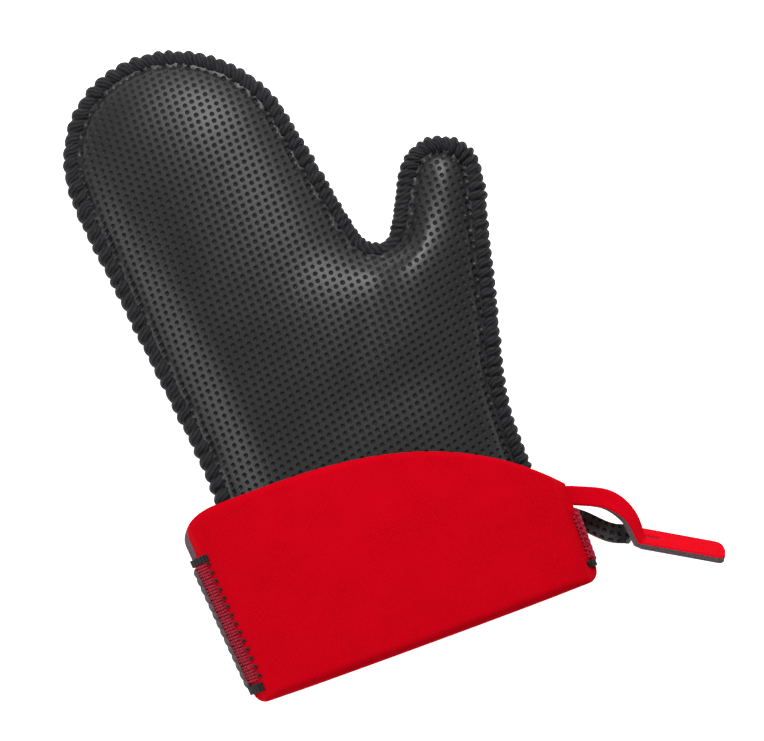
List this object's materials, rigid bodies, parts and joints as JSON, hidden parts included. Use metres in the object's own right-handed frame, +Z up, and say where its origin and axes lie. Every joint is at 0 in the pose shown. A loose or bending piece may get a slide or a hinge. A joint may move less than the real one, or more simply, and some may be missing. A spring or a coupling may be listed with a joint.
{
  "type": "oven mitt",
  "caption": "Padded oven mitt with separate thumb, dimpled rubber faces, overlocked edge, folded knit-faced cuff and a slit hang loop.",
  "frame": {"origin": "middle of the bounding box at the height of the surface that the mitt's back rests on", "axes": "+Y from the cuff to the fingertips, +X towards the thumb, +Z up through the palm face"},
  "size_m": [0.2496, 0.3348, 0.0391],
  "materials": {
    "dimpled_rubber": "soft satin, embossed with small round pits",
    "red_lining": "matt brushed knit",
    "charcoal_thread": "matt twisted yarn",
    "red_knit_laminate": "fine jersey over foam, charcoal reverse"
  },
  "bodies": {
    "mitt": {"palm_panel": "dimpled_rubber", "back_panel": "dimpled_rubber", "palm_lining": "red_lining", "back_lining": "red_lining", "edge_seam": "charcoal_thread", "cuff_front": "red_knit_laminate", "cuff_back": "red_knit_laminate", "cuff_left_seam": "charcoal_thread", "left_seam_top_tack": "charcoal_thread", "left_seam_foot_tack": "charcoal_thread", "cuff_right_seam": "charcoal_thread", "right_seam_foot_tack": "charcoal_thread", "front_join_stitching": "charcoal_thread", "back_join_stitching": "charcoal_thread", "loop_front_end": "red_knit_laminate", "loop_back_end": "red_knit_laminate"},
    "loop": {"hang_loop": "red_knit_laminate"}
  },
  "joints": [
    {"name": "loop_swing", "type": "hinge", "parent": "mitt", "child": "loop", "pos_m": [0.0653, -0.12, 0.013], "axis": [0, -1, 0], "range_deg": [0, 60], "stiffness_Nm_per_rad": 0.02}
  ]
}
